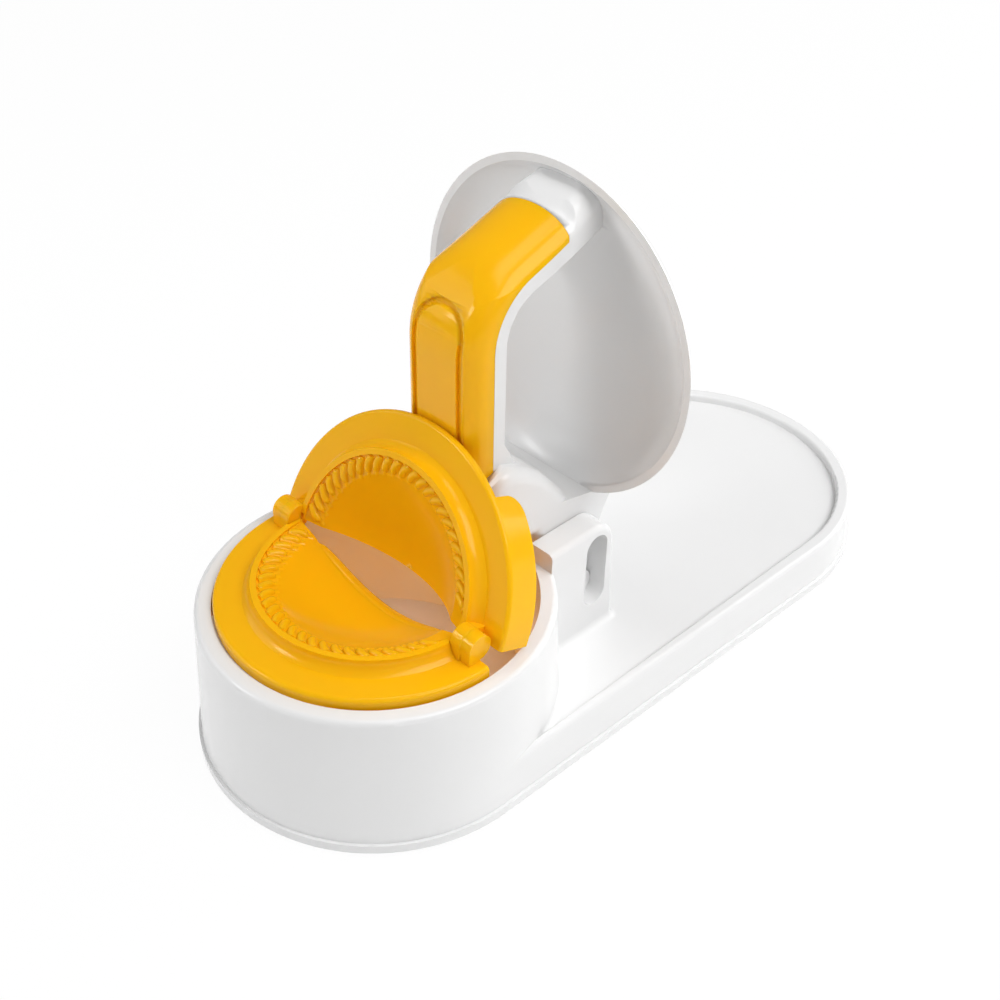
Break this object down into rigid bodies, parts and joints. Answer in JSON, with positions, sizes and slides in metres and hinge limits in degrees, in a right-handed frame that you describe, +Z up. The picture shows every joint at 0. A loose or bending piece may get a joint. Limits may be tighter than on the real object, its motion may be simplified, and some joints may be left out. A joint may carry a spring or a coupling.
{
  "type": "empanada press",
  "caption": "Hand press for empanadas and dumplings with a folding mould, a dough plate and a swinging press lever.",
  "frame": {"origin": "on the ground, in the middle of the footprint", "axes": "+X from the tub to the dough plate, +Y to the far side, +Z up"},
  "size_m": [0.2808, 0.1262, 0.1733],
  "materials": {
    "white_plastic": "gloss",
    "yellow_plastic": "gloss",
    "pad_rubber": "matte"
  },
  "bodies": {
    "base": {"base_shell": "white_plastic", "foot_tub_near": "pad_rubber", "foot_tub_far": "pad_rubber", "foot_plate_near": "pad_rubber", "foot_plate_far": "pad_rubber", "mould_lower": "yellow_plastic"},
    "lever": {"lever_body": "white_plastic", "grip_cover": "yellow_plastic"},
    "mould_lid": {"mould_upper": "yellow_plastic"}
  },
  "joints": [
    {"name": "lever_swing", "type": "hinge", "parent": "base", "child": "lever", "pos_m": [-0.0129, 0, 0.032], "axis": [0, 1, 0], "range_deg": [0, 90]},
    {"name": "mould_close", "type": "hinge", "parent": "base", "child": "mould_lid", "pos_m": [-0.0804, 0, 0.0602], "axis": [0, 1, 0], "range_deg": [-112.5, 0]}
  ]
}
